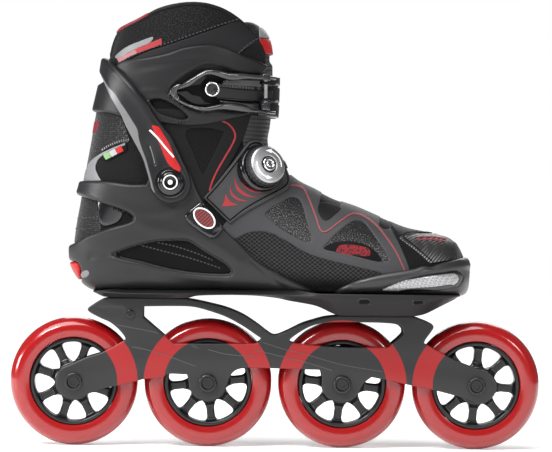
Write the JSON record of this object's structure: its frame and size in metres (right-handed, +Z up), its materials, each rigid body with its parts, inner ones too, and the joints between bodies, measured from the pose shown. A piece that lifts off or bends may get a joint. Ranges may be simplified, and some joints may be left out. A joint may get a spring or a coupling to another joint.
{
  "type": "inline skate",
  "caption": "Inline skate for the right foot: soft boot in a moulded shell with a flexing cuff, ratchet buckle, instep dial and an extruded frame of large spoked wheels.",
  "frame": {"origin": "on the floor, under the middle of the skate's length and width", "axes": "+X towards the toe, +Z up, the outer (lateral) side faces -Y"},
  "size_m": [0.4136, 0.107, 0.3444],
  "materials": {
    "urethane": "glossy translucent red poured urethane",
    "hub": "gloss black moulded core",
    "steel": "satin",
    "aluminium": "satin",
    "black_steel": "black oxide",
    "frame": "satin black anodised",
    "shell": "satin moulded",
    "red_plastic": "satin red",
    "gloss_rubber": "glossy",
    "carbon": "woven pattern under gloss",
    "mesh_fabric": "knitted mesh",
    "fabric": "matte",
    "cuff": "satin soft plastic",
    "yoke": "satin",
    "gloss_plastic": "gloss black",
    "strap": "smooth coated, stitched"
  },
  "bodies": {
    "chassis": {"axle_1": "black_steel", "axle_2": "black_steel", "axle_3": "black_steel", "axle_4": "black_steel", "frame": "frame", "rear_mount_bolt": "black_steel", "front_mount_bolt": "black_steel", "frame_side_bolt": "black_steel", "shell": "shell", "heel_insert": "red_plastic", "toe_bumper": "gloss_rubber", "toe_trim_outer": "carbon", "toe_trim_inner": "carbon", "boot_upper": "mesh_fabric", "ankle_gusset": "mesh_fabric", "tongue": "mesh_fabric", "footbed": "fabric", "instep_strap": "strap", "strap_anchor_outer": "gloss_plastic", "strap_anchor_inner": "gloss_plastic", "anchor_badge": "red_plastic", "dial_base": "gloss_plastic", "lace_cable": "gloss_rubber", "pivot_bolt_outer": "black_steel", "pivot_bolt_inner": "black_steel", "pivot_ring": "steel"},
    "cuff": {"boot_collar": "mesh_fabric", "cuff": "cuff", "cuff_yoke": "yoke", "closure_strap": "cuff", "ladder_strap": "gloss_plastic", "buckle_base": "gloss_plastic", "buckle_pin": "steel", "strap_screw": "steel"},
    "lever": {"buckle_lever": "gloss_plastic"},
    "spool": {"dial_spool": "steel"},
    "dial": {"dial_knob": "gloss_rubber", "dial_cap": "steel"},
    "wheel_1": {"tyre_1": "urethane", "hub_1": "hub", "bearing_outer_1": "steel", "bearing_inner_1": "steel", "bearing_spacer_1": "aluminium"},
    "wheel_2": {"tyre_2": "urethane", "hub_2": "hub", "bearing_outer_2": "steel", "bearing_inner_2": "steel", "bearing_spacer_2": "aluminium"},
    "wheel_3": {"tyre_3": "urethane", "hub_3": "hub", "bearing_outer_3": "steel", "bearing_inner_3": "steel", "bearing_spacer_3": "aluminium"},
    "wheel_4": {"tyre_4": "urethane", "hub_4": "hub", "bearing_outer_4": "steel", "bearing_inner_4": "steel", "bearing_spacer_4": "aluminium"}
  },
  "joints": [
    {"name": "wheel_1_spin", "type": "hinge", "parent": "chassis", "child": "wheel_1", "pos_m": [-0.15675, 0, 0.05], "axis": [0, 1, 0], "continuous": true},
    {"name": "wheel_2_spin", "type": "hinge", "parent": "chassis", "child": "wheel_2", "pos_m": [-0.05225, 0, 0.05], "axis": [0, 1, 0], "continuous": true},
    {"name": "wheel_3_spin", "type": "hinge", "parent": "chassis", "child": "wheel_3", "pos_m": [0.05225, 0, 0.05], "axis": [0, 1, 0], "continuous": true},
    {"name": "wheel_4_spin", "type": "hinge", "parent": "chassis", "child": "wheel_4", "pos_m": [0.15675, 0, 0.05], "axis": [0, 1, 0], "continuous": true},
    {"name": "cuff_flex", "type": "hinge", "parent": "chassis", "child": "cuff", "pos_m": [-0.0826, 0, 0.2053], "axis": [0, 1, 0], "range_deg": [-3, 8], "deforming": ["ankle_gusset", "tongue"]},
    {"name": "buckle_lever_swing", "type": "hinge", "parent": "cuff", "child": "lever", "pos_m": [-0.01, -0.03327, 0.2765], "axis": [0, 0, 1], "range_deg": [0, 100]},
    {"name": "dial_turn", "type": "hinge", "parent": "chassis", "child": "spool", "pos_m": [-0.0138, -0.02932, 0.2165], "axis": [0.4898, -0.8308, 0.2645], "continuous": true},
    {"name": "dial_pull", "type": "slide", "parent": "spool", "child": "dial", "axis": [0.4898, -0.8308, 0.2645], "range_m": [0, 0.0025]}
  ]
}
